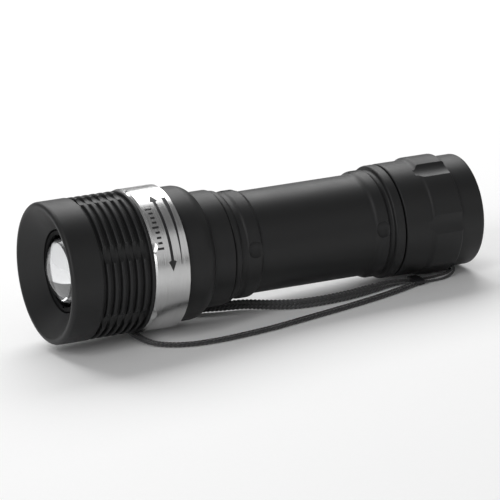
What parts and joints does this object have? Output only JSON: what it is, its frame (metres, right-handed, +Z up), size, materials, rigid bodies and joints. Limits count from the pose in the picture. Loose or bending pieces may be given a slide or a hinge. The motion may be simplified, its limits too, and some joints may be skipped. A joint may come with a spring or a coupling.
{
  "type": "tactical flashlight",
  "caption": "Twist-focus hand torch with a fluted bezel, bare metal focus band, plain barrel, clicking tail cap and braided wrist strap.",
  "frame": {"origin": "middle of the torch's box on its axis, the lanyard left out", "axes": "+X along the axis from the lens to the tail, +Z up when it lies on its strap, so the beam leaves along -X"},
  "size_m": [0.13, 0.0439, 0.0416],
  "materials": {
    "black_shell": "matt black anodised, soft sheen",
    "band_metal": "satin bare metal",
    "dark_metal": "black anodised",
    "bare_metal": "machined",
    "lens_glass": "clear, polished",
    "brass": "turned",
    "steel": "plated",
    "seal_rubber": "matt",
    "boot_rubber": "matt",
    "board_white": "solder mask",
    "board_green": "solder mask",
    "led_ceramic": "ceramic",
    "led_silicone": "clear silicone over phosphor",
    "black_plastic": "moulded",
    "white_plastic": "moulded",
    "wire_red": "insulated",
    "cell_wrap": "shrink wrap",
    "braid": "braided nylon",
    "string": "twisted nylon"
  },
  "bodies": {
    "torch_body": {"neck_shell": "black_shell", "guide_sleeve": "bare_metal", "guide_clip": "steel", "focus_o_rings": "seal_rubber", "led_pill": "brass", "led_board": "board_white", "led_emitter": "led_ceramic", "led_dome": "led_silicone", "board_screws": "steel", "lead_wires": "wire_red", "driver_board": "board_green", "driver_parts": "black_plastic", "driver_spring": "steel", "barrel": "black_shell", "front_o_ring": "seal_rubber", "tail_o_ring": "seal_rubber"},
    "focus_ring": {"head_bezel": "black_shell", "zoom_band": "band_metal", "cam_sleeve": "bare_metal"},
    "lens_group": {"lens": "lens_glass", "lens_cell": "dark_metal", "lens_gasket": "boot_rubber", "lens_retainer": "dark_metal", "guide_pins": "brass"},
    "cell_carrier": {"carrier_front": "black_plastic", "carrier_rear": "black_plastic", "carrier_posts": "white_plastic", "carrier_nub": "brass", "carrier_plates": "steel", "carrier_springs": "steel", "cell_1": "cell_wrap", "cell_2": "cell_wrap", "cell_3": "cell_wrap"},
    "tail_end": {"tail_cap": "black_shell", "switch_ring": "bare_metal", "switch_board": "board_green", "tail_spring": "steel", "switch_housing": "black_plastic", "boot_washer": "steel", "switch_boot": "boot_rubber", "plunger_spring": "steel", "lanyard_string": "string", "lanyard_clamp": "boot_rubber", "wrist_strap": "braid"},
    "button": {"switch_plunger": "white_plastic"}
  },
  "joints": [
    {"name": "focus_twist", "type": "hinge", "parent": "torch_body", "child": "focus_ring", "pos_m": [-0.04, 0, 0], "axis": [1, 0, 0], "range_deg": [0, 100]},
    {"name": "lens_travel", "type": "slide", "parent": "torch_body", "child": "lens_group", "axis": [1, 0, 0], "range_m": [0, 0.007]},
    {"name": "cap_off", "type": "slide", "parent": "torch_body", "child": "tail_end", "axis": [1, 0, 0], "range_m": [0, 0.09]},
    {"name": "carrier_out", "type": "slide", "parent": "torch_body", "child": "cell_carrier", "axis": [1, 0, 0], "range_m": [0, 0.073]},
    {"name": "button_press", "type": "slide", "parent": "tail_end", "child": "button", "axis": [-1, 0, 0], "range_m": [0, 0.0018], "stiffness_N_per_m": 1200, "deforming": ["switch_boot", "plunger_spring"]}
  ],
  "couplings": [
    {"joint": "lens_travel", "follows": "focus_twist", "m_per_rad": 0.004},
    {"joint": "carrier_out", "follows": "cap_off", "ratio": 0.8}
  ]
}
